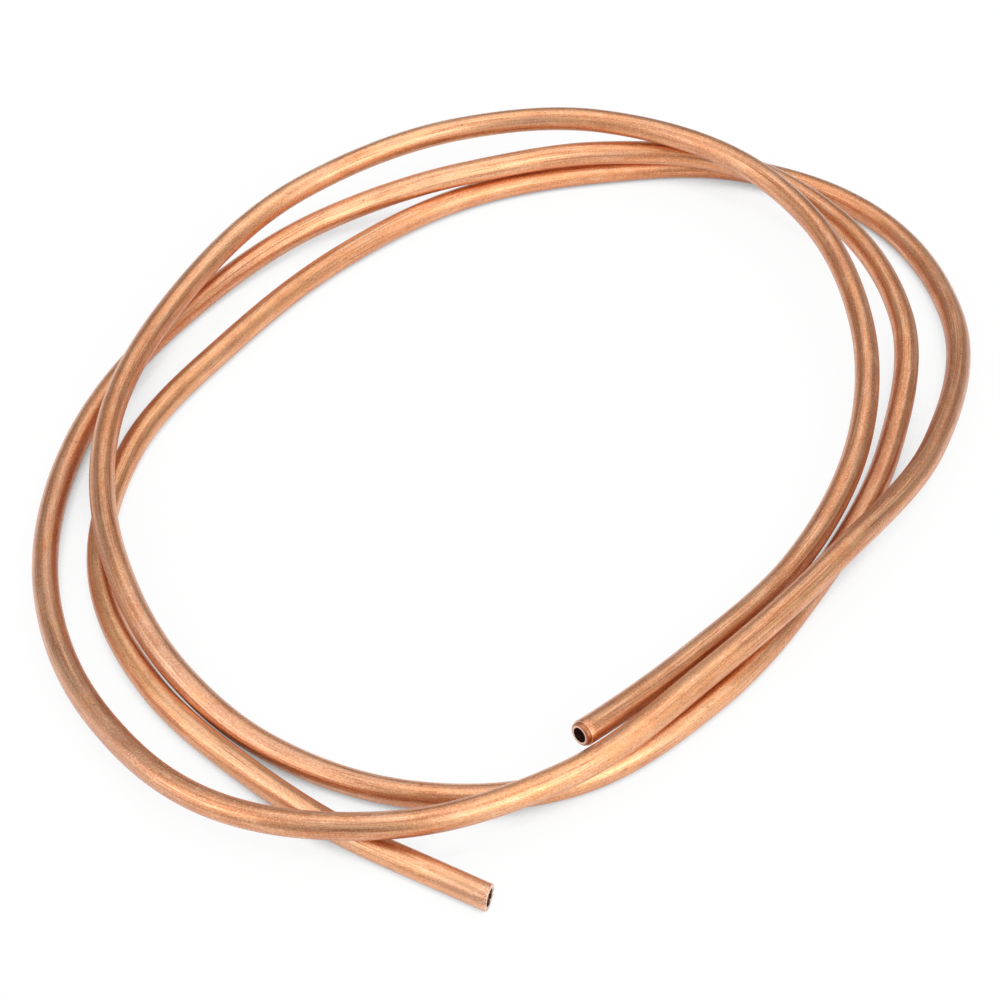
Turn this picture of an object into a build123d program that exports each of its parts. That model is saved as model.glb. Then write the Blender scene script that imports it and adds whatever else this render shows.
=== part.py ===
"""A loose coil of soft copper tube: about three turns that lie over each other as they fall on a floor."""

import os
from math import cos, hypot, radians, sin, sqrt

from build123d import *

# Tube, in millimetres
tube_diameter = 6.0
wall_thickness = 1.0
bore_diameter = tube_diameter - 2 * wall_thickness

# First end, where a cutting wheel has rolled the wall in, outside and over the bore
rolled_length = 0.9
rim_inset = 0.7
lip_inset = 0.25
rolled_rim_diameter = tube_diameter - 2 * rim_inset
rolled_bore_diameter = bore_diameter - 2 * lip_inset

# Coil: the mean oval of the tube's centre line, with its long side along X
coil_length = 240.0
coil_width = 176.0
strand_clearance = 0.3

# The tube passes evenly spaced angles round the oval, a row of stations for each turn
stations_per_turn = 16
first_station_angle = -112.5
# How far outside the oval the tube lies at each station, as shares of its diameter
outward_shares = (
    (-2.51, -2.14, -1.86, -1.98, -2.05, -1.64, -0.74, 0.68)
    + (1.59, 1.03, 0.23, -1.25, -2.38, -2.68, -1.87, -0.76),
    (-0.91, -1.14, -0.64, -0.03, -0.39, -0.81, -1.58, -1.41)
    + (0.20, 1.12, 1.69, 1.49, 0.98, 0.94, 0.49, -0.33),
    (-1.31, -0.77, 1.11, 2.40, 1.86, 0.14, -1.52, -1.76)
    + (-1.85, -1.58, -0.61, -0.64, -1.46, -1.42, 0.71),
)
# How high the tube rides there, as shares of one strand with its clearance
lift_shares = (
    (0.70, 0.45, 0.85, 1.40, 1.90, 2.05, 2.05, 1.70) + (1.25, 1.10, 1.05, 1.00, 0.52, 0.05, 0.00, 0.00),
    (0.00, 0.00, 0.30, 0.85, 1.00, 1.00, 1.05, 0.97) + (0.35, 0.00, 0.00, 0.05, 0.35, 0.80, 1.05, 1.05),
    (1.05, 1.05, 0.55, 0.15, 0.00, 0.00, 0.00, 0.00) + (0.00, 0.00, 0.00, 0.00, 0.00, 0.00, 0.00),
)
# The first end: the bend before its short straight run, and that run's length
first_bend_angle = -130.7
first_bend_outward_share = -1.79
first_bend_lift_share = 1.17
first_run = 3.0
# The last end, a straight run from the last station to its cut
last_tip_angle = 936.0
last_tip_outward_share = 3.22
last_tip_lift_share = 0.00


def place_on_oval(angle, outward_share, lift_share):
    """A point of the tube's centre line, at an angle round the oval, in degrees."""
    x = coil_length / 2 * cos(radians(angle))
    y = coil_width / 2 * sin(radians(angle))
    growth = 1 + outward_share * tube_diameter / hypot(x, y)
    z = tube_diameter / 2 + lift_share * (tube_diameter + strand_clearance)
    return Vector(x * growth, y * growth, z)


def station_points():
    """The points that the tube's turns pass, from the first end to the last."""
    points = []
    for turn_outwards, turn_lifts in zip(outward_shares, lift_shares):
        for outward_share, lift_share in zip(turn_outwards, turn_lifts):
            angle = first_station_angle + len(points) * 360 / stations_per_turn
            points.append(place_on_oval(angle, outward_share, lift_share))
    return points


def way_through(before, here, after):
    """The tube's direction at a station: along the circle through three in plan, with no dip in height."""
    run_in = here - before
    run_out = after - here
    plan_in = Vector(run_in.X, run_in.Y)
    plan_out = Vector(run_out.X, run_out.Y)
    plan_way = plan_in / plan_in.length**2 + plan_out / plan_out.length**2
    slope_in = run_in.Z / plan_in.length
    slope_out = run_out.Z / plan_out.length
    slope = 0
    if slope_in * slope_out > 0:
        slope = 2 * slope_in * slope_out / (slope_in + slope_out)
    return (plan_way.normalized() + Vector(0, 0, slope)).normalized()


def lay_arcs(start, start_way, end, end_way):
    """Joins two stations by two arcs that are tangent to both directions and to each other."""
    span = end - start
    bend = 2 * (1 - start_way.dot(end_way))
    reach = span.dot(start_way + end_way)
    leg = (sqrt(reach**2 + bend * span.length**2) - reach) / bend
    first_corner = start + start_way * leg
    second_corner = end - end_way * leg
    joint = (first_corner + second_corner) / 2
    TangentArc(start, joint, tangent=start_way)
    TangentArc(joint, end, tangent=second_corner - first_corner)


def lay_route(middle):
    """The tube's centre line, laid so that the given point comes over the origin."""
    first_bend = place_on_oval(first_bend_angle, first_bend_outward_share, first_bend_lift_share) - middle
    last_tip = place_on_oval(last_tip_angle, last_tip_outward_share, last_tip_lift_share) - middle
    points = [point - middle for point in station_points()]
    ways = [way_through(first_bend, *points[:2])]
    ways += [way_through(*points[index - 1 : index + 2]) for index in range(1, len(points) - 1)]
    ways += [(last_tip - points[-1]).normalized()]
    # The bowed run next to the first end is one arc, so its directions mirror each other about its chord
    chord_way = (points[0] - first_bend).normalized()
    first_way = chord_way * (2 * chord_way.dot(ways[0])) - ways[0]
    with BuildLine() as line:
        Line(first_bend - first_way * first_run, first_bend)
        TangentArc(first_bend, points[0], tangent=first_way)
        for index in range(len(points) - 1):
            lay_arcs(points[index], ways[index], points[index + 1], ways[index + 1])
        Line(points[-1], last_tip)
    return line.wire()


# The coil's box has its middle over the origin
loose_box = lay_route(Vector(0, 0, 0)).bounding_box()
route = lay_route(Vector(loose_box.center().X, loose_box.center().Y, 0))
first_tip = route @ 0
first_way = route % 0
last_tip = route @ 1
last_way = route % 1

with BuildPart() as copper_tube:
    # Drawn tube along the route
    with BuildSketch(Plane(origin=first_tip, z_dir=first_way)):
        Circle(tube_diameter / 2)
    sweep(path=route)
    with BuildSketch(Plane(origin=first_tip, z_dir=first_way)):
        Circle(bore_diameter / 2)
    sweep(path=route, mode=Mode.SUBTRACT)

    # The cutting wheel rounds the first end's outside and turns its rim in over the bore
    across_first_end = first_way.cross(Vector(0, 0, 1)).normalized()
    end_plane = Plane(origin=first_tip, x_dir=across_first_end, z_dir=across_first_end.cross(first_way))
    with BuildSketch(end_plane) as rounding:
        with BuildLine():
            outside = TangentArc(
                (tube_diameter / 2, rolled_length), (rolled_rim_diameter / 2, 0), tangent=(0, -1)
            )
            Polyline(outside @ 1, (tube_diameter / 2, 0), outside @ 0)
        make_face()
    revolve(axis=Axis(first_tip, first_way), mode=Mode.SUBTRACT)
    with BuildSketch(end_plane) as turned_rim:
        with BuildLine():
            inside = TangentArc(
                (bore_diameter / 2, rolled_length), (rolled_bore_diameter / 2, 0), tangent=(0, -1)
            )
            Polyline(inside @ 1, (bore_diameter / 2, 0), inside @ 0)
        make_face()
    revolve(axis=Axis(first_tip, first_way))

copper_tube.part.label = "copper_tube"
os.makedirs("parts", exist_ok=True)
export_step(copper_tube.part, "parts/copper_tube.step")
print(f"length {route.length:.1f} mm, volume {copper_tube.part.volume:.1f} mm3")
print("first end", first_tip, "pointing", -first_way)
print("last end", last_tip, "pointing", last_way)
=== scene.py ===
"""The looks of a loose coil of soft copper tube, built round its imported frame."""

import logging
import math
from collections.abc import Callable
from dataclasses import dataclass
from enum import Enum

import bmesh
import bpy
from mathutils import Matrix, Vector


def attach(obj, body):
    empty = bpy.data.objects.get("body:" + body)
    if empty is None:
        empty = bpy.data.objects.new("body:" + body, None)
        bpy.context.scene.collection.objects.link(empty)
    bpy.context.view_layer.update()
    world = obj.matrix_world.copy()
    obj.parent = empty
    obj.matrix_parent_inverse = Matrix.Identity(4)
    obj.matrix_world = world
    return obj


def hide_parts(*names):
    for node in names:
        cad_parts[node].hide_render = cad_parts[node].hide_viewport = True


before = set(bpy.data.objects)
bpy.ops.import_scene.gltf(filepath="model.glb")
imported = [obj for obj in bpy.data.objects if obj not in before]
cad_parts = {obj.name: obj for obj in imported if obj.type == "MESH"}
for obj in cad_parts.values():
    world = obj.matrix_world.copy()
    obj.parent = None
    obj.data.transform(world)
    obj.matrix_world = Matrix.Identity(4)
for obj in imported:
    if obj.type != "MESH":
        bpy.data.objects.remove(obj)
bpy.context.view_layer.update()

log = logging.getLogger("copper_coil")

MILLIMETRE = 0.001
FULL_TURN = 360
TUBE_NODE = "copper_tube"
UNBENT = "unbent"

Place = tuple[float, float, float]
Socket = bpy.types.NodeSocket


class Wall(Enum):
    """The two long walls of the tube, by how often each is divided along its length, and again."""

    OUTSIDE = (100, 11)
    BORE = (100, 1)


class Tone(Enum):
    """The colours of drawn copper that has lain in the open, linear, with some that also paint shade
    and a highlight at the tube's ends.
    """

    TAN = (0.69, 0.305, 0.13)
    BROWN = (0.61, 0.24, 0.10)
    UMBER = (0.59, 0.21, 0.075)
    ORANGE = (0.79, 0.315, 0.12)
    ROSE = (0.71, 0.35, 0.195)
    MAUVE = (0.63, 0.315, 0.19)
    GOLD = (0.85, 0.395, 0.165)
    BRIGHT = (0.95, 0.47, 0.22)
    PEACH = (0.84, 0.43, 0.21)
    PALE = (0.97, 0.60, 0.36)
    DEEP = (0.45, 0.14, 0.045)
    # FRESH: freshly cut and scraped copper, and also a painted highlight on the first end's step.
    FRESH = (0.93, 0.68, 0.55)
    # SPECK: dark dirt specks, and also painted shade in the bore near the last cut.
    SPECK = (0.17, 0.085, 0.06)
    BORE = (0.62, 0.32, 0.31)


class Pairing(Enum):
    """How two values are taken together."""

    ADD = "ADD"
    SUBTRACT = "SUBTRACT"
    MULTIPLY = "MULTIPLY"
    LARGER = "MAXIMUM"


def deselect_all() -> None:
    """Leaves nothing selected, so that an operator acts only on what follows."""
    bpy.ops.object.select_all(action="DESELECT")


def set_mode(mode: str) -> None:
    """Goes into edit mode or back to object mode."""
    bpy.ops.object.mode_set(mode=mode)


@dataclass(frozen=True)
class CoilRoute:
    """The line that the tube's middle follows, by stations round an oval.

    Lengths are in metres and angles in degrees. The first bend and the last tip are places as well:
    an angle, a share outward and a share of lift.
    """

    tube_diameter: float = 6.0 * MILLIMETRE
    strand_clearance: float = 0.3 * MILLIMETRE
    coil_length: float = 240.0 * MILLIMETRE
    coil_width: float = 176.0 * MILLIMETRE
    stations_per_turn: int = 16
    first_station_angle: float = -112.5
    outward_shares: tuple[tuple[float, ...], ...] = (
        (-2.51, -2.14, -1.86, -1.98, -2.05, -1.64, -0.74, 0.68)
        + (1.59, 1.03, 0.23, -1.25, -2.38, -2.68, -1.87, -0.76),
        (-0.91, -1.14, -0.64, -0.03, -0.39, -0.81, -1.58, -1.41)
        + (0.20, 1.12, 1.69, 1.49, 0.98, 0.94, 0.49, -0.33),
        (-1.31, -0.77, 1.11, 2.40, 1.86, 0.14, -1.52, -1.76)
        + (-1.85, -1.58, -0.61, -0.64, -1.46, -1.42, 0.71),
    )
    lift_shares: tuple[tuple[float, ...], ...] = (
        (0.70, 0.45, 0.85, 1.40, 1.90, 2.05, 2.05, 1.70)
        + (1.25, 1.10, 1.05, 1.00, 0.52, 0.05, 0.00, 0.00),
        (0.00, 0.00, 0.30, 0.85, 1.00, 1.00, 1.05, 0.97)
        + (0.35, 0.00, 0.00, 0.05, 0.35, 0.80, 1.05, 1.05),
        (1.05, 1.05, 0.55, 0.15, 0.00, 0.00, 0.00, 0.00)
        + (0.00, 0.00, 0.00, 0.00, 0.00, 0.00, 0.00),
    )
    first_bend: Place = (-130.7, -1.79, 1.17)
    first_run: float = 3.0 * MILLIMETRE
    last_tip: Place = (936.0, 3.22, 0.00)
    points_between_stations: int = 40

    def place(self, angle: float, outward_share: float, lift_share: float) -> Vector:
        """A point of the route.

        Args:
            angle: the angle round the oval, in degrees.
            outward_share: how far outside the oval it lies, as a share of the tube's diameter.
            lift_share: how high it rides, as a share of one strand with its clearance.

        Returns:
            The point, in metres.
        """
        turned = math.radians(angle)
        along = self.coil_length / 2 * math.cos(turned)
        across = self.coil_width / 2 * math.sin(turned)
        growth = 1 + outward_share * self.tube_diameter / math.hypot(along, across)
        strand = self.tube_diameter + self.strand_clearance
        height = self.tube_diameter / 2 + lift_share * strand
        return Vector((along * growth, across * growth, height))

    def stations(self) -> list[Vector]:
        """The points that the tube passes.

        Returns:
            The points in order, from the bend near the first end to the last cut.
        """
        points = [self.place(*self.first_bend)]
        for outwards, lifts in zip(self.outward_shares, self.lift_shares):
            for outward_share, lift_share in zip(outwards, lifts):
                passed = len(points) - 1
                angle = self.first_station_angle + passed * FULL_TURN / self.stations_per_turn
                points.append(self.place(angle, outward_share, lift_share))
        points.append(self.place(*self.last_tip))
        return points

    @staticmethod
    def way_through(before: Vector, here: Vector, after: Vector) -> Vector:
        """The tube's direction at a station.

        Args:
            before: the station before it.
            here: the station.
            after: the station after it.

        Returns:
            A unit vector along the circle through the three in plan, with no dip in height.
        """
        run_in = here - before
        run_out = after - here
        plan_in = Vector((run_in.x, run_in.y, 0))
        plan_out = Vector((run_out.x, run_out.y, 0))
        way = plan_in / plan_in.length_squared + plan_out / plan_out.length_squared
        way.normalize()
        slope_in = run_in.z / plan_in.length
        slope_out = run_out.z / plan_out.length
        if slope_in * slope_out > 0:
            way.z = 2 * slope_in * slope_out / (slope_in + slope_out)
        return way.normalized()

    def directions(self, points: list[Vector]) -> list[Vector]:
        """The tube's direction at each station.

        Args:
            points: the stations, both ends included.

        Returns:
            One unit vector for each station. The first and last runs are an arc and a straight.
        """
        inner = range(1, len(points) - 1)
        ways = [self.way_through(*points[index - 1 : index + 2]) for index in inner]
        chord = (points[1] - points[0]).normalized()
        first = chord * (2 * chord.dot(ways[0])) - ways[0]
        last = (points[-1] - points[-2]).normalized()
        return [first, *ways[:-1], last, last]

    @staticmethod
    def shape(spline: bpy.types.Spline, points: list[Vector], ways: list[Vector]) -> None:
        """Gives a curve its knots and the handles that round it off.

        Args:
            spline: the curve, with a knot for each point.
            points: where the knots lie.
            ways: the curve's directions there.
        """
        knots = spline.bezier_points
        for knot, point in zip(knots, points):
            knot.handle_left_type = "FREE"
            knot.handle_right_type = "FREE"
            knot.co = point
            knot.handle_left = point
            knot.handle_right = point
        for near, far, way_out, way_in in zip(knots, knots[1:], ways, ways[1:]):
            turn = way_out.angle(way_in)
            handle = (far.co - near.co).length / (3 * math.cos(turn / 4) ** 2)
            near.handle_right = near.co + way_out * handle
            far.handle_left = far.co - way_in * handle

    def lay(self) -> bpy.types.Object:
        """Lays the route as a smooth curve with the middle of its box over the origin.

        Returns:
            The curve's object, which is only a guide for the tube.
        """
        points = self.stations()
        ways = self.directions(points)
        points.insert(0, points[0] - ways[0] * self.first_run)
        ways.insert(0, ways[0])
        data = bpy.data.curves.new("coil_route", "CURVE")
        data.dimensions = "3D"
        data.resolution_u = self.points_between_stations
        spline = data.splines.new("BEZIER")
        spline.bezier_points.add(len(points) - 1)
        self.shape(spline, points, ways)
        route = bpy.data.objects.new("coil_route", data)
        bpy.context.scene.collection.objects.link(route)
        line = self.line(route)
        middle = Vector((self.middle(line, 0), self.middle(line, 1), 0))
        for knot in spline.bezier_points:
            knot.co -= middle
            knot.handle_left -= middle
            knot.handle_right -= middle
        return route

    @staticmethod
    def middle(line: list[Vector], axis: int) -> float:
        """The middle of the line's box along one axis."""
        values = [point[axis] for point in line]
        return (min(values) + max(values)) / 2

    @staticmethod
    def line(route: bpy.types.Object) -> list[Vector]:
        """The laid curve as a row of points.

        Args:
            route: the curve's object.

        Returns:
            Points close together, from end to end.
        """
        bpy.context.view_layer.update()
        mesh = bpy.data.meshes.new_from_object(route)
        points = [vertex.co.copy() for vertex in mesh.vertices]
        bpy.data.meshes.remove(mesh)
        return points

    def length(self, route: bpy.types.Object) -> float:
        """How long the laid curve is, in metres."""
        points = self.line(route)
        return sum((after - before).length for before, after in zip(points, points[1:]))


@dataclass(frozen=True)
class RolledEnd:
    """The first end, where a cutting wheel has rolled the wall in. Depths run back from the cut."""

    rim_radius: float = 2.02 * MILLIMETRE
    bevel_depth: float = 0.5 * MILLIMETRE
    collar_radius: float = 2.75 * MILLIMETRE
    collar_depth: float = 0.95 * MILLIMETRE
    step_length: float = 0.05 * MILLIMETRE
    step_bevel: float = 0.05 * MILLIMETRE
    lip_radius: float = 1.75 * MILLIMETRE
    lip_depth: float = 0.9 * MILLIMETRE
    arc_steps: int = 8

    def outside(self, tube_radius: float) -> list[tuple[float, float]]:
        """The outside of the end: a rounded rim, a short collar and the step up to the plain tube.

        Args:
            tube_radius: the plain tube's outside radius.

        Returns:
            Pairs of depth and radius, from the cut back.
        """
        drop = self.collar_radius - self.rim_radius
        corners = []
        for step in range(self.arc_steps, -1, -1):
            turned = math.pi / 2 * step / self.arc_steps
            depth = self.bevel_depth * (1 - math.sin(turned))
            corners.append((depth, self.collar_radius - drop * (1 - math.cos(turned))))
        corners.append((self.collar_depth, self.collar_radius))
        edge_depth = self.collar_depth + self.step_length
        corners.append((edge_depth, tube_radius - self.step_bevel))
        corners.append((edge_depth + 2 * self.step_bevel, tube_radius))
        return corners

    def inside(self, bore_radius: float) -> list[tuple[float, float]]:
        """The inside of the end, an arc that leaves the plain bore smoothly and ends at the lip.

        Args:
            bore_radius: the plain bore's radius.

        Returns:
            Pairs of depth and radius, from the plain bore out to the cut.
        """
        drop = bore_radius - self.lip_radius
        bend_radius = (drop**2 + self.lip_depth**2) / (2 * drop)
        whole_turn = 2 * math.atan2(drop, self.lip_depth)
        corners = []
        for step in range(self.arc_steps + 1):
            turned = whole_turn * step / self.arc_steps
            depth = self.lip_depth - bend_radius * math.sin(turned)
            radius = bore_radius - bend_radius * (1 - math.cos(turned))
            corners.append((max(depth, 0.0), radius))
        return corners


@dataclass(frozen=True)
class RoughEnd:
    """The last end, cut roughly, a little askew, and left with a burr. Depths run back from the cut.

    The edges are rounded at a share of their depth and bite. The skew is in degrees, and takes in what
    lies within so many tube radii of the cut's middle.
    """

    edge_depth: float = 0.25 * MILLIMETRE
    edge_bite: float = 0.12 * MILLIMETRE
    rounding_share: float = 0.25
    burr: float = 0.13 * MILLIMETRE
    seed: int = 5
    skew: float = -10.5
    skew_reach: float = 1.05

    def corners(self, tube_radius: float, bore_radius: float) -> list[tuple[float, float]]:
        """The end's corners, from the tube's outside round to its bore.

        Args:
            tube_radius: the plain tube's outside radius.
            bore_radius: the plain bore's radius.

        Returns:
            Pairs of depth and radius.
        """
        middle_radius = (tube_radius + bore_radius) / 2
        rounded_depth = self.edge_depth * self.rounding_share
        rounded_bite = self.edge_bite * self.rounding_share
        return [
            (self.edge_depth, tube_radius),
            (rounded_depth, tube_radius - rounded_bite),
            (0.0, tube_radius - self.edge_bite),
            (0.0, middle_radius),
            (0.0, bore_radius + self.edge_bite),
            (rounded_depth, bore_radius + rounded_bite),
            (self.edge_depth, bore_radius),
        ]


class Nodes:
    """Adds the nodes of one material and joins them."""

    def __init__(self, material: bpy.types.Material) -> None:
        """Starts on an empty sheet.

        Args:
            material: the material whose nodes these are.
        """
        material.use_nodes = True
        self.tree = material.node_tree
        self.tree.nodes.clear()

    def add(self, kind: str, **settings: object) -> bpy.types.Node:
        """Adds a node.

        Args:
            kind: the node's type name.
            settings: values of the node's own properties.

        Returns:
            The new node.
        """
        node = self.tree.nodes.new(kind)
        for name, value in settings.items():
            setattr(node, name, value)
        return node

    def join(self, source: Socket, target: Socket) -> None:
        """Joins an output to an input."""
        self.tree.links.new(source, target)

    def finish(self, surface: Socket) -> None:
        """Makes a shader the material's surface."""
        out = self.add("ShaderNodeOutputMaterial")
        self.join(surface, out.inputs["Surface"])

    def unbent_place(self) -> Socket:
        """The place that a point had on the straight tube, whose axis is X."""
        return self.add("ShaderNodeAttribute", attribute_name=UNBENT).outputs["Vector"]

    def along(self) -> Socket:
        """How far along the straight tube a point lies.

        Returns:
            The distance's socket, in metres.
        """
        parts = self.add("ShaderNodeSeparateXYZ")
        self.join(self.unbent_place(), parts.inputs["Vector"])
        return parts.outputs["X"]

    def radius(self) -> Socket:
        """How far from the straight tube's axis a point lies.

        Returns:
            The distance's socket, in metres.
        """
        across = self.add("ShaderNodeVectorMath", operation="MULTIPLY")
        across.inputs[1].default_value = (0.0, 1.0, 1.0)
        size = self.add("ShaderNodeVectorMath", operation="LENGTH")
        self.join(self.unbent_place(), across.inputs[0])
        self.join(across.outputs["Vector"], size.inputs[0])
        return size.outputs["Value"]

    def ramp(self, value: Socket, stops: tuple[tuple[float, Tone], ...]) -> Socket:
        """A colour ramp over a value.

        Args:
            value: the socket that drives the ramp.
            stops: pairs of place and tone.

        Returns:
            The ramp's colour socket.
        """
        node = self.add("ShaderNodeValToRGB")
        node.color_ramp.interpolation = "EASE"
        elements = node.color_ramp.elements
        while len(elements) < len(stops):
            elements.new(1.0)
        for element, (place, tone) in zip(elements, stops):
            element.position = place
            element.color = (*tone.value, 1.0)
        self.join(value, node.inputs["Fac"])
        return node.outputs["Color"]

    def span(self, value: Socket, low: float, high: float, to_low: float, to_high: float) -> Socket:
        """A value carried from one span to another and held at its ends.

        Args:
            value: the socket to carry over.
            low: the value that becomes to_low.
            high: the value that becomes to_high.
            to_low: the result at low.
            to_high: the result at high.

        Returns:
            The result's socket.
        """
        node = self.add("ShaderNodeMapRange", clamp=True)
        node.inputs["From Min"].default_value = low
        node.inputs["From Max"].default_value = high
        node.inputs["To Min"].default_value = to_low
        node.inputs["To Max"].default_value = to_high
        self.join(value, node.inputs["Value"])
        return node.outputs["Result"]

    def pair(self, first: Socket, second: Socket, how: Pairing) -> Socket:
        """Two values taken together.

        Args:
            first: the first value.
            second: the second value.
            how: what is done with them.

        Returns:
            The result's socket.
        """
        node = self.add("ShaderNodeMath", operation=how.value)
        self.join(first, node.inputs[0])
        self.join(second, node.inputs[1])
        return node.outputs["Value"]

    def mix(self, share: Socket, under: Socket, over: Tone) -> Socket:
        """Lays a tone over a colour.

        Args:
            share: how much of the tone shows.
            under: the colour so far.
            over: the tone.

        Returns:
            The mixed colour's socket.
        """
        node = self.add("ShaderNodeMix", data_type="RGBA")
        self.join(share, node.inputs["Factor"])
        self.join(under, node.inputs["A"])
        node.inputs["B"].default_value = (*over.value, 1.0)
        return node.outputs["Result"]


@dataclass(frozen=True)
class Streaks:
    """Soft marks drawn out along the tube: their width and length in metres, and their finer layers."""

    width: float
    length: float
    detail: float
    roughness: float = 0.55

    def add(self, nodes: Nodes) -> Socket:
        """Adds the marks to a material.

        Args:
            nodes: the sheet to add to.

        Returns:
            A value about one half, with no seam round the tube.
        """
        squeeze = nodes.add("ShaderNodeMapping")
        squeeze.inputs["Scale"].default_value = (1 / self.length, 1 / self.width, 1 / self.width)
        noise = nodes.add("ShaderNodeTexNoise")
        noise.inputs["Scale"].default_value = 1.0
        noise.inputs["Detail"].default_value = self.detail
        noise.inputs["Roughness"].default_value = self.roughness
        nodes.join(nodes.unbent_place(), squeeze.inputs["Vector"])
        nodes.join(squeeze.outputs["Vector"], noise.inputs["Vector"])
        return noise.outputs["Fac"]


@dataclass(frozen=True)
class Specks:
    """Small scattered specks, by how far apart the places for them are, in metres."""

    spacing: float

    def add(self, nodes: Nodes) -> Socket:
        """Adds the specks to a material.

        Args:
            nodes: the sheet to add to.

        Returns:
            The distance to the nearest speck's middle, in spacings.
        """
        cells = nodes.add("ShaderNodeTexVoronoi")
        cells.inputs["Scale"].default_value = 1 / self.spacing
        nodes.join(nodes.unbent_place(), cells.inputs["Vector"])
        return cells.outputs["Distance"]


@dataclass(frozen=True)
class Veil:
    """A tone laid over a colour: none of it at one value of a pattern, its full share at another."""

    tone: Tone
    none_at: float
    full_at: float
    share: float

    def lay(self, nodes: Nodes, colour: Socket, value: Socket, only: Socket | None = None) -> Socket:
        """Lays the tone.

        Args:
            nodes: the sheet to add to.
            colour: the colour so far.
            value: the pattern's value.
            only: how much of the tone is let through, where it isn't all.

        Returns:
            The new colour's socket.
        """
        strength = nodes.span(value, self.none_at, self.full_at, 0.0, self.share)
        if only is not None:
            strength = nodes.pair(strength, only, Pairing.MULTIPLY)
        return nodes.mix(strength, colour, self.tone)


@dataclass(frozen=True)
class Layer:
    """A pattern and the tones that it lays over the colour."""

    pattern: Streaks | Specks
    veils: tuple[Veil, ...]

    def lay(self, nodes: Nodes, colour: Socket, only: Socket | None = None) -> Socket:
        """Lays the tones.

        Args:
            nodes: the sheet to add to.
            colour: the colour so far.
            only: how much of the tones is let through, where it isn't all.

        Returns:
            The new colour's socket.
        """
        value = self.pattern.add(nodes)
        for veil in self.veils:
            colour = veil.lay(nodes, colour, value, only)
        return colour


@dataclass(frozen=True)
class EndMarks:
    """The dull bore and what cutting and handling have left on the tube's ends, with painted shade in
    the bore near the last cut and on the first end's collar, and a painted highlight on the step behind
    that collar.

    Depths are in metres, back from the cut that is meant. Each share is how much of its tone shows.
    """

    bore_up_to: float = 2.02 * MILLIMETRE
    wall_from: float = 2.06 * MILLIMETRE
    # painted shade: the bore darkens towards the last cut
    bore_shade_depth: float = 15 * MILLIMETRE
    bore_shade_share: float = 0.8
    # painted shade: the first end's collar is darkened
    collar: Veil = Veil(Tone.DEEP, 1.00 * MILLIMETRE, 0.90 * MILLIMETRE, 0.8)
    # painted highlight: a bright ring on the step behind the collar
    step_highlight: Veil = Veil(Tone.FRESH, 1.12 * MILLIMETRE, 1.00 * MILLIMETRE, 0.7)
    rim: Veil = Veil(Tone.FRESH, 0.03 * MILLIMETRE, 0.0, 0.95)
    handled_from: float = 16 * MILLIMETRE
    handled_to: float = 5 * MILLIMETRE
    handled_share: float = 0.55
    cut_from: float = 0.22 * MILLIMETRE
    cut_to: float = 0.04 * MILLIMETRE
    cut_share: float = 0.85
    scraped_depth: float = 6 * MILLIMETRE
    scrapes: Layer = Layer(
        Streaks(0.4 * MILLIMETRE, 0.7 * MILLIMETRE, 3.0), (Veil(Tone.FRESH, 0.52, 0.64, 0.8),)
    )

    def lay(self, nodes: Nodes, colour: Socket, length: float) -> Socket:
        """Lays the marks over the outside's colour.

        Args:
            nodes: the sheet to add to.
            colour: the outside's colour.
            length: the tube's length, in metres.

        Returns:
            The whole tube's colour.
        """
        along = nodes.along()
        radius = nodes.radius()
        bore = nodes.span(radius, self.wall_from, self.bore_up_to, 0.0, 1.0)
        outside = nodes.span(radius, self.bore_up_to, self.wall_from, 0.0, 1.0)
        colour = nodes.mix(bore, colour, Tone.BORE)
        # painted shade inside the bore, darkest at the last cut
        colour = Veil(Tone.SPECK, length - self.bore_shade_depth, length, self.bore_shade_share).lay(
            nodes, colour, along, bore
        )
        colour = self.lay_first_end(nodes, colour, along, outside)
        return self.lay_last_end(nodes, colour, along, outside, length)

    def lay_first_end(self, nodes: Nodes, colour: Socket, along: Socket, outside: Socket) -> Socket:
        """Lays painted shade on the first end's collar, a painted highlight on the edge of the step
        behind it, and the bright rim.

        Args:
            nodes: the sheet to add to.
            colour: the colour so far.
            along: how far along the straight tube a point lies.
            outside: one on the outside and none in the bore.

        Returns:
            The new colour's socket.
        """
        # painted shade over the first end's collar
        colour = self.collar.lay(nodes, colour, along, outside)
        on_collar_shade = nodes.span(along, self.collar.none_at, self.collar.full_at, 0.0, self.collar.share)
        # painted highlight on the step's edge, where the collar's shade ends
        edge = self.step_highlight
        on_step_highlight = nodes.span(along, edge.none_at, edge.full_at, 0.0, edge.share)
        on_step_highlight = nodes.pair(on_step_highlight, on_collar_shade, Pairing.SUBTRACT)
        colour = nodes.mix(nodes.pair(on_step_highlight, outside, Pairing.MULTIPLY), colour, edge.tone)
        return self.rim.lay(nodes, colour, along)

    def lay_last_end(
        self, nodes: Nodes, colour: Socket, along: Socket, outside: Socket, length: float
    ) -> Socket:
        """Lays the last end's handled stretch, its bright cut and the scrapes beside it.

        Args:
            nodes: the sheet to add to.
            colour: the colour so far.
            along: how far along the straight tube a point lies.
            outside: one on the outside and none in the bore.
            length: the tube's length, in metres.

        Returns:
            The new colour's socket.
        """
        handled = Veil(
            Tone.ROSE, length - self.handled_from, length - self.handled_to, self.handled_share
        )
        colour = handled.lay(nodes, colour, along, outside)
        cut = Veil(Tone.FRESH, length - self.cut_from, length - self.cut_to, self.cut_share)
        colour = cut.lay(nodes, colour, along)
        near_cut = nodes.span(along, length - self.scraped_depth, length, 0.0, 1.0)
        near_cut = nodes.pair(near_cut, outside, Pairing.MULTIPLY)
        return self.scrapes.lay(nodes, colour, near_cut)


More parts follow.
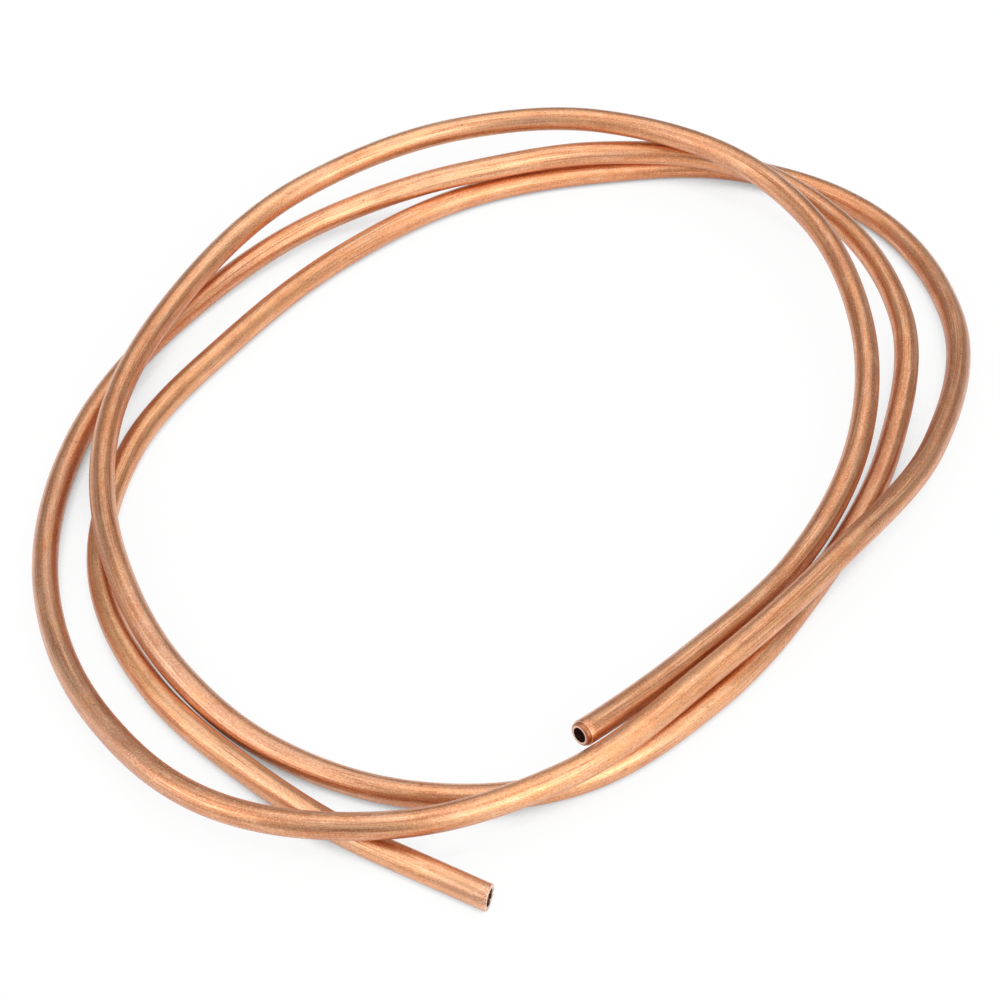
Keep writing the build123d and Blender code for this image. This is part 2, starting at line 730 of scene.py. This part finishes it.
@dataclass(frozen=True)
class CopperFinish:
    """Soft drawn copper: satin, streaked along its length, a little tarnished and specked.

    The broad tones run along the tube by shares of its length, and their borders wander by a share of
    it. The drawing lines are worn away in places, down to their least share.
    """

    tones_along: tuple[tuple[float, Tone], ...] = (
        (0.00, Tone.TAN),
        (0.10, Tone.BROWN),
        (0.17, Tone.BRIGHT),
        (0.23, Tone.ORANGE),
        (0.27, Tone.MAUVE),
        (0.33, Tone.GOLD),
        (0.38, Tone.UMBER),
        (0.45, Tone.ORANGE),
        (0.49, Tone.PEACH),
        (0.54, Tone.ORANGE),
        (0.60, Tone.MAUVE),
        (0.63, Tone.BROWN),
        (0.67, Tone.GOLD),
        (0.75, Tone.BROWN),
        (0.83, Tone.ORANGE),
        (0.90, Tone.GOLD),
        (1.00, Tone.PEACH),
    )
    wandering: Streaks = Streaks(3.5 * MILLIMETRE, 45 * MILLIMETRE, 3.0)
    wandering_span: tuple[float, float] = (0.2, 0.8)
    wandering_share: float = 0.02
    stains: Layer = Layer(
        Streaks(3.2 * MILLIMETRE, 13 * MILLIMETRE, 4.0),
        (Veil(Tone.ROSE, 0.52, 0.66, 0.7), Veil(Tone.ORANGE, 0.47, 0.34, 0.7)),
    )
    blotches: Layer = Layer(
        Streaks(2.2 * MILLIMETRE, 7 * MILLIMETRE, 4.0),
        (Veil(Tone.DEEP, 0.47, 0.33, 0.4), Veil(Tone.PALE, 0.53, 0.68, 0.4)),
    )
    bands: Layer = Layer(
        Streaks(1.0 * MILLIMETRE, 55 * MILLIMETRE, 3.0),
        (Veil(Tone.PALE, 0.52, 0.70, 0.45), Veil(Tone.DEEP, 0.48, 0.32, 0.45)),
    )
    drawing_lines: Layer = Layer(
        Streaks(0.30 * MILLIMETRE, 22 * MILLIMETRE, 1.0),
        (Veil(Tone.DEEP, 0.44, 0.34, 0.7), Veil(Tone.PALE, 0.56, 0.66, 0.6)),
    )
    wear: Streaks = Streaks(6 * MILLIMETRE, 25 * MILLIMETRE, 2.0)
    wear_span: tuple[float, float] = (0.42, 0.58)
    least_lines: float = 0.2
    grain: Layer = Layer(
        Streaks(0.28 * MILLIMETRE, 0.42 * MILLIMETRE, 1.0),
        (Veil(Tone.DEEP, 0.46, 0.28, 0.55), Veil(Tone.PALE, 0.55, 0.72, 0.55)),
    )
    dirt: Layer = Layer(Specks(6.5 * MILLIMETRE), (Veil(Tone.SPECK, 0.07, 0.04, 0.45),))
    end_marks: EndMarks = EndMarks()
    dulling: Streaks = Streaks(0.7 * MILLIMETRE, 30 * MILLIMETRE, 3.0)
    dulling_span: tuple[float, float] = (0.3, 0.7)
    roughness_low: float = 0.32
    roughness_high: float = 0.46
    film: float = 0.9
    film_roughness: float = 0.26
    hair_relief: Streaks = Streaks(0.20 * MILLIMETRE, 22 * MILLIMETRE, 2.0)
    grain_relief: Streaks = Streaks(0.24 * MILLIMETRE, 0.55 * MILLIMETRE, 2.0)
    relief_height: float = 0.06 * MILLIMETRE
    relief_strength: float = 0.7

    def outer_colour(self, nodes: Nodes, length: float) -> Socket:
        """The colour of the tube's outside.

        Args:
            nodes: the sheet to add to.
            length: the tube's length, in metres.

        Returns:
            The colour's socket.
        """
        share = nodes.span(nodes.along(), 0.0, length, 0.0, 1.0)
        reach = self.wandering_share
        wandering = nodes.span(self.wandering.add(nodes), *self.wandering_span, -reach, reach)
        colour = nodes.ramp(nodes.pair(share, wandering, Pairing.ADD), self.tones_along)
        for layer in (self.stains, self.blotches, self.bands):
            colour = layer.lay(nodes, colour)
        lined = nodes.span(self.wear.add(nodes), *self.wear_span, self.least_lines, 1.0)
        colour = self.drawing_lines.lay(nodes, colour, lined)
        colour = self.grain.lay(nodes, colour)
        return self.dirt.lay(nodes, colour)

    def relief(self, nodes: Nodes) -> Socket:
        """The fine relief of drawing lines and grain.

        Args:
            nodes: the sheet to add to.

        Returns:
            The normal's socket.
        """
        bump = nodes.add("ShaderNodeBump")
        bump.inputs["Strength"].default_value = self.relief_strength
        bump.inputs["Distance"].default_value = self.relief_height
        hair = self.hair_relief.add(nodes)
        grain = self.grain_relief.add(nodes)
        nodes.join(nodes.pair(hair, grain, Pairing.ADD), bump.inputs["Height"])
        return bump.outputs["Normal"]

    def material(self, length: float) -> bpy.types.Material:
        """The finish as a material.

        Args:
            length: the tube's length, in metres.

        Returns:
            The material, which reads the places that the points had on the straight tube.
        """
        made = bpy.data.materials.new("satin_copper")
        nodes = Nodes(made)
        satin = nodes.add("ShaderNodeBsdfPrincipled")
        satin.inputs["Metallic"].default_value = 1.0
        satin.inputs["Coat Weight"].default_value = self.film
        satin.inputs["Coat Roughness"].default_value = self.film_roughness
        colour = self.end_marks.lay(nodes, self.outer_colour(nodes, length), length)
        nodes.join(colour, satin.inputs["Base Color"])
        rough_span = (self.roughness_low, self.roughness_high)
        rough = nodes.span(self.dulling.add(nodes), *self.dulling_span, *rough_span)
        nodes.join(rough, satin.inputs["Roughness"])
        relief = self.relief(nodes)
        nodes.join(relief, satin.inputs["Normal"])
        nodes.join(relief, satin.inputs["Coat Normal"])
        nodes.finish(satin.outputs["BSDF"])
        return made


@dataclass
class CopperTube:
    """The tube itself: turned straight, with its bore and both cut ends, then laid along the coil.

    Lengths are in metres and angles in degrees.
    """

    route: CoilRoute
    first_end: RolledEnd
    last_end: RoughEnd
    finish: CopperFinish
    tube_radius: float = 3.0 * MILLIMETRE
    bore_radius: float = 2.0 * MILLIMETRE
    sides: int = 48
    least_long_wall: float = 300 * MILLIMETRE
    merge_distance: float = 0.0003 * MILLIMETRE
    dent_depth: float = 0.05 * MILLIMETRE
    dent_size: float = 14 * MILLIMETRE
    crease_angle: float = 40.0

    def corners(self, length: float) -> list[Vector]:
        """The closed half section of the straight tube.

        Args:
            length: the tube's length, in metres.

        Returns:
            Its corners, with the tube's axis along X and the radius along Z.
        """
        pairs = self.first_end.outside(self.tube_radius)
        last_round = self.last_end.corners(self.tube_radius, self.bore_radius)
        pairs += [(length - depth, radius) for depth, radius in last_round]
        pairs += self.first_end.inside(self.bore_radius)
        return [Vector((along, 0, radius)) for along, radius in pairs]

    def draw_section(self, length: float) -> bpy.types.Object:
        """Draws the half section as a loop of edges, its long walls divided.

        Args:
            length: the tube's length, in metres.

        Returns:
            The object, in object mode.
        """
        deselect_all()
        bpy.ops.mesh.primitive_plane_add(size=self.tube_radius)
        tube = bpy.context.object
        tube.name = "drawn_copper_tube"
        corners = self.corners(length)
        set_mode("EDIT")
        bpy.ops.mesh.select_all(action="SELECT")
        bpy.ops.mesh.merge(type="CENTER")
        bpy.ops.transform.translate(value=corners[0])
        for before, after in zip(corners, corners[1:]):
            step = after - before
            bpy.ops.mesh.extrude_vertices_move(TRANSFORM_OT_translate={"value": step})
        bpy.ops.mesh.select_mode(type="VERT")
        self.select_where(tube, lambda place: place.x < self.merge_distance)
        bpy.ops.mesh.edge_face_add()
        for wall in Wall:
            self.select_long_wall(tube, wall)
            for cuts in wall.value:
                bpy.ops.mesh.subdivide(number_cuts=cuts)
        set_mode("OBJECT")
        return tube

    @staticmethod
    def select_where(tube: bpy.types.Object, wanted: Callable[[Vector], bool]) -> None:
        """Selects the points in edit mode that a test wants.

        Args:
            tube: the object in edit mode.
            wanted: a test of a point's place.
        """
        sheet = bmesh.from_edit_mesh(tube.data)
        for point in sheet.verts:
            point.select = wanted(point.co)
        sheet.select_flush_mode()
        bmesh.update_edit_mesh(tube.data)

    def select_long_wall(self, tube: bpy.types.Object, wall: Wall) -> None:
        """Selects one long wall of the half section in edit mode.

        Args:
            tube: the object in edit mode.
            wall: which of its two walls.
        """
        between = (self.tube_radius + self.bore_radius) / 2
        sheet = bmesh.from_edit_mesh(tube.data)
        for edge in sheet.edges:
            outer = edge.verts[0].co.z > between
            is_long = edge.calc_length() > self.least_long_wall
            edge.select_set(False)
            if is_long and outer == (wall is Wall.OUTSIDE):
                edge.select_set(True)
        bmesh.update_edit_mesh(tube.data)

    def spin_section(self, tube: bpy.types.Object) -> None:
        """Turns the half section round the tube's axis into one closed skin.

        Args:
            tube: the half section, which is the active object.
        """
        set_mode("EDIT")
        bpy.ops.mesh.select_all(action="SELECT")
        bpy.ops.mesh.spin(
            steps=self.sides,
            angle=2 * math.pi,
            use_auto_merge=True,
            center=(0, 0, 0),
            axis=(1, 0, 0),
        )
        bpy.ops.mesh.select_all(action="SELECT")
        bpy.ops.mesh.remove_doubles(threshold=self.merge_distance)
        bpy.ops.mesh.normals_make_consistent(inside=False)
        set_mode("OBJECT")
        log.info("%s turned with %d sides", tube.name, self.sides)

    def keep_unbent_places(self, tube: bpy.types.Object) -> None:
        """Keeps each point's place on the straight tube, which the finish reads.

        Args:
            tube: the straight tube.
        """
        kept = tube.data.attributes.new(UNBENT, "FLOAT_VECTOR", "POINT")
        for point, value in zip(tube.data.vertices, kept.data):
            value.vector = point.co

    def roughen_last_end(self, tube: bpy.types.Object, length: float) -> None:
        """Leaves a burr on the last end's rim.

        Args:
            tube: the straight tube.
            length: its length, in metres.
        """
        set_mode("EDIT")
        reach = length - self.last_end.edge_depth / 2
        self.select_where(tube, lambda place: place.x > reach)
        bpy.ops.transform.vertex_random(offset=self.last_end.burr, seed=self.last_end.seed)
        set_mode("OBJECT")

    def dent(self, tube: bpy.types.Object) -> None:
        """Presses shallow uneven marks into the wall, as handling leaves them.

        Args:
            tube: the straight tube.
        """
        clouds = bpy.data.textures.new("handling_marks", "CLOUDS")
        clouds.noise_scale = self.dent_size
        press = tube.modifiers.new("press", "DISPLACE")
        press.texture = clouds
        press.texture_coords = "LOCAL"
        press.mid_level = 1.0
        press.strength = self.dent_depth
        bpy.ops.object.modifier_apply(modifier=press.name)

    def bend(self, tube: bpy.types.Object, guide: bpy.types.Object) -> None:
        """Bends the straight tube along the coil's route.

        Args:
            tube: the straight tube.
            guide: the route's curve, which isn't needed afterwards.
        """
        lie = tube.modifiers.new("lie", "CURVE")
        lie.object = guide
        lie.deform_axis = "POS_X"
        bpy.ops.object.modifier_apply(modifier=lie.name)
        bpy.data.objects.remove(guide)

    def skew_last_end(self, tube: bpy.types.Object, tip: Vector) -> None:
        """Turns the last cut a little askew about the vertical.

        Args:
            tube: the bent tube.
            tip: the middle of its last cut.
        """
        set_mode("EDIT")
        reach = self.tube_radius * self.last_end.skew_reach
        self.select_where(tube, lambda place: (place - tip).length < reach)
        bpy.ops.transform.rotate(
            value=math.radians(self.last_end.skew),
            orient_axis="Z",
            orient_type="GLOBAL",
            center_override=tip,
        )
        set_mode("OBJECT")

    def build(self) -> bpy.types.Object:
        """Builds, bends and dresses the tube.

        Returns:
            The finished piece, riding on the frame.
        """
        guide = self.route.lay()
        length = self.route.length(guide)
        last_tip = self.route.line(guide)[-1]
        tube = self.draw_section(length)
        self.spin_section(tube)
        self.keep_unbent_places(tube)
        self.roughen_last_end(tube, length)
        self.dent(tube)
        self.bend(tube, guide)
        self.skew_last_end(tube, last_tip)
        bpy.ops.object.shade_smooth_by_angle(angle=math.radians(self.crease_angle))
        tube.data.materials.clear()
        tube.data.materials.append(self.finish.material(length))
        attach(tube, "root")
        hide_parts(TUBE_NODE)
        log.info("tube %.1f mm long, %d points", length / MILLIMETRE, len(tube.data.vertices))
        return tube


@dataclass(frozen=True)
class Softbox:
    """A square soft light that faces the coil: its place and side in metres, its power in watts."""

    name: str
    place: Place
    side: float
    power: float

    def hang(self) -> None:
        """Hangs the light, out of the camera's sight."""
        deselect_all()
        bpy.ops.object.light_add(type="AREA", location=self.place)
        lamp = bpy.context.object
        lamp.name = self.name
        lamp.data.shape = "SQUARE"
        lamp.data.size = self.side
        lamp.data.energy = self.power
        lamp.visible_camera = False
        lamp.rotation_euler = (-Vector(self.place)).to_track_quat("-Z", "Y").to_euler()


@dataclass(frozen=True)
class PaleFloor:
    """A floor that is white to the eye and in reflections and keeps a faint shadow.

    Lengths are in metres. Where less of the sky over a point is open than the open share, painted shade
    dulls the white, down to the painted shade's white at the closed share.
    """

    size: float = 12.0
    drop: float = 0.05 * MILLIMETRE
    white: float = 0.95
    shadow_share: float = 0.08
    mirrored_shadow_share: float = 0.85
    crevice_size: float = 15 * MILLIMETRE
    crevice_samples: int = 8
    closed_share: float = 0.1
    open_share: float = 0.4
    painted_shade_white: float = 0.3

    def glow(self, nodes: Nodes) -> Socket:
        """The white that the camera sees, with painted shade that dulls it in the crevices.

        Args:
            nodes: the sheet to add to.

        Returns:
            The shader's socket.
        """
        sky = nodes.add("ShaderNodeAmbientOcclusion", samples=self.crevice_samples)
        sky.inputs["Distance"].default_value = self.crevice_size
        # painted shade: the camera's white is dulled where the sky is closed
        strength = nodes.span(
            sky.outputs["AO"], self.closed_share, self.open_share, self.painted_shade_white, 1.0
        )
        glow = nodes.add("ShaderNodeEmission")
        nodes.join(strength, glow.inputs["Strength"])
        return glow.outputs["Emission"]

    def glow_share(self, nodes: Nodes) -> Socket:
        """How much of the white a ray meets in place of the lit paint.

        Args:
            nodes: the sheet to add to.

        Returns:
            The share's socket.
        """
        rays = nodes.add("ShaderNodeLightPath").outputs
        passed = nodes.pair(rays["Is Glossy Ray"], rays["Is Transmission Ray"], Pairing.LARGER)
        mirrored = nodes.span(passed, 0.0, 1.0, 0.0, 1 - self.mirrored_shadow_share)
        looked_at = nodes.span(rays["Is Camera Ray"], 0.0, 1.0, 0.0, 1 - self.shadow_share)
        return nodes.pair(looked_at, mirrored, Pairing.LARGER)

    def material(self) -> bpy.types.Material:
        """The floor's paint and its white.

        Returns:
            The material.
        """
        made = bpy.data.materials.new("pale_floor")
        nodes = Nodes(made)
        paint = nodes.add("ShaderNodeBsdfDiffuse")
        paint.inputs["Color"].default_value = (self.white, self.white, self.white, 1.0)
        both = nodes.add("ShaderNodeMixShader")
        nodes.join(self.glow_share(nodes), both.inputs["Fac"])
        nodes.join(paint.outputs["BSDF"], both.inputs[1])
        nodes.join(self.glow(nodes), both.inputs[2])
        nodes.finish(both.outputs["Shader"])
        return made

    def lay(self) -> None:
        """Lays the floor just under the coil."""
        deselect_all()
        bpy.ops.mesh.primitive_plane_add(size=self.size, location=(0, 0, -self.drop))
        floor = bpy.context.object
        floor.name = "floor"
        floor.data.materials.append(self.material())


@dataclass
class Studio:
    """A pale floor, soft light and the photograph's camera. Lengths are in metres."""

    floor: PaleFloor = PaleFloor()
    softboxes: tuple[Softbox, ...] = (
        Softbox("left_softbox", (-0.70, 0.46, 0.55), 0.85, 4.1),
        Softbox("right_softbox", (-0.20, -0.84, 0.55), 0.85, 5.4),
        Softbox("top_softbox", (0.25, 0.03, 1.00), 1.2, 5.3),
    )
    room_light: float = 0.36
    camera_place: Place = (-0.41185, -0.23958, 0.4788)
    camera_target: Place = (-0.01145, -0.00838, 0.0)
    nearest_sight: float = 0.01
    lens: float = 102.14
    sensor: float = 36.0

    def light_room(self) -> None:
        """Fills the room with plain grey light."""
        world = bpy.data.worlds.new("studio")
        bpy.context.scene.world = world
        world.use_nodes = True
        glow = world.node_tree.nodes["Background"]
        glow.inputs["Color"].default_value = (self.room_light, self.room_light, self.room_light, 1.0)

    def set_camera(self) -> None:
        """Sets up the photograph's camera, whose lens and sensor are in millimetres."""
        deselect_all()
        bpy.ops.object.camera_add(location=self.camera_place)
        camera = bpy.context.object
        camera.data.lens = self.lens
        camera.data.sensor_width = self.sensor
        sight = Vector(self.camera_target) - Vector(self.camera_place)
        camera.rotation_euler = sight.to_track_quat("-Z", "Y").to_euler()
        camera.data.clip_start = self.nearest_sight
        bpy.context.scene.camera = camera

    def build(self) -> None:
        """Sets the floor, the lights and the camera."""
        self.floor.lay()
        self.light_room()
        for softbox in self.softboxes:
            softbox.hang()
        self.set_camera()
        bpy.context.scene.view_settings.view_transform = "Standard"


def main() -> None:
    """Builds the studio and the tube, and reports them."""
    logging.basicConfig(level=logging.INFO, format="%(name)s: %(message)s")
    Studio().build()
    tube = CopperTube(CoilRoute(), RolledEnd(), RoughEnd(), CopperFinish())
    piece = tube.build()
    log.info("%s replaces %s", piece.name, TUBE_NODE)


if __name__ == "__main__":
    main()
